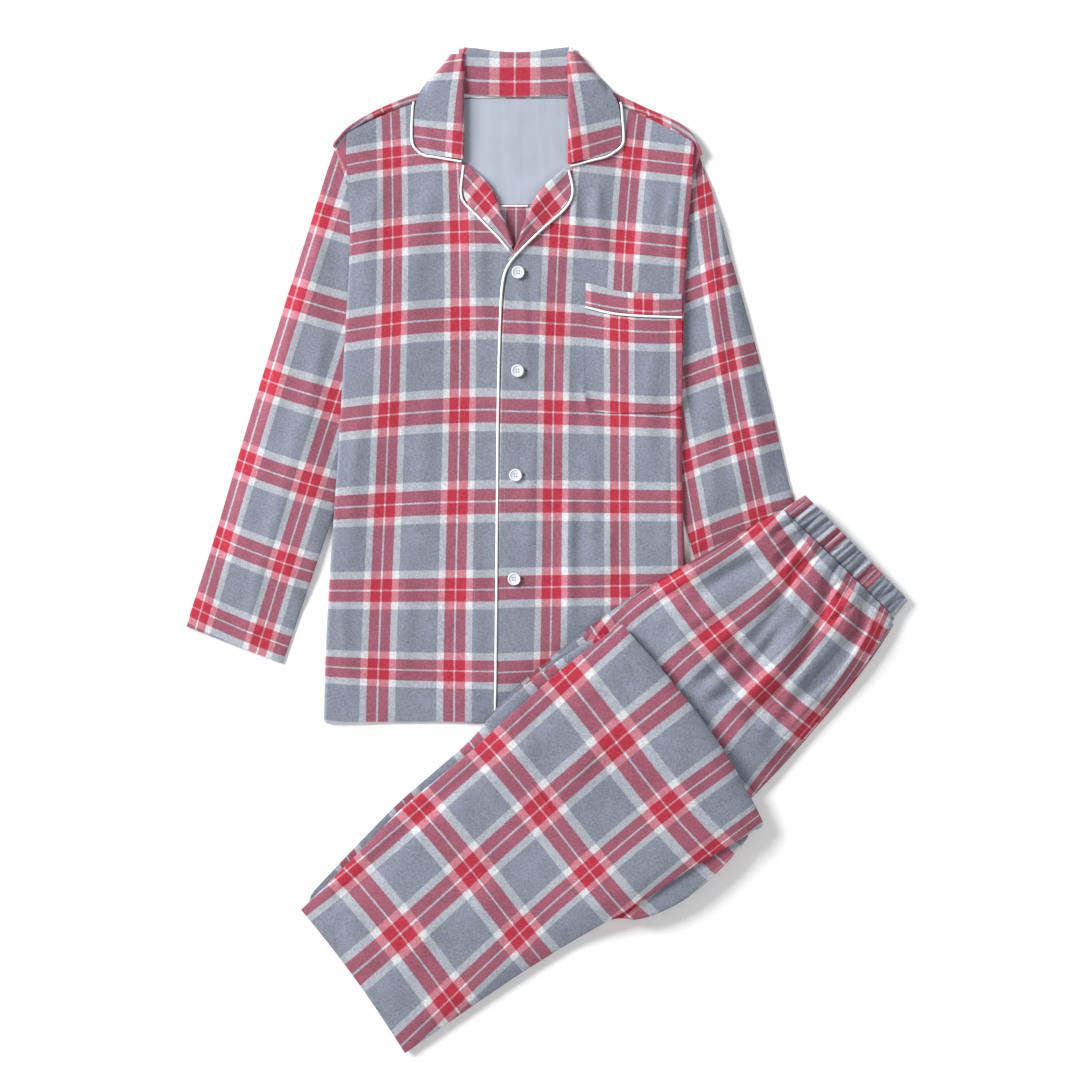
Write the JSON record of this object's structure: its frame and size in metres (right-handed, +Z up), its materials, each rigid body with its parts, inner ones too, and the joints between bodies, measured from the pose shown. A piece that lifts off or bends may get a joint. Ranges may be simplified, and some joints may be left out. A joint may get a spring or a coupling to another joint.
{
  "type": "pyjama set",
  "caption": "Plaid flannel pyjama set laid out flat: a notched-collar shirt with white piping and a chest pocket, and folded trousers across its corner.",
  "frame": {"origin": "middle of the whole outline, on the surface the set lies on", "axes": "+Z up from the surface, +Y from the shirt's hem towards its collar, +X towards the sleeve of the wearer's left arm"},
  "size_m": [0.833, 1.1596, 0.0342],
  "materials": {
    "flannel": "brushed",
    "facing": "matt",
    "piping": "satin",
    "button": "gloss"
  },
  "bodies": {
    "root": {"shirt_back": "flannel", "front_right": "flannel", "front_left": "flannel", "sleeve_right": "flannel", "sleeve_left": "flannel", "collar": "flannel", "lapel_right": "flannel", "lapel_left": "flannel", "pocket_bag": "flannel", "pocket_band": "flannel", "leg_lower": "flannel", "leg_upper": "flannel", "folded_layers": "flannel", "waistband": "flannel", "neck_facing": "facing", "button_1": "button", "button_2": "button", "button_3": "button", "button_4": "button", "piping_pocket": "piping", "piping_collar_right": "piping", "piping_collar_left": "piping", "piping_lapel_right": "piping", "piping_front_left": "piping", "piping_neck_facing": "piping"}
  },
  "joints": []
}
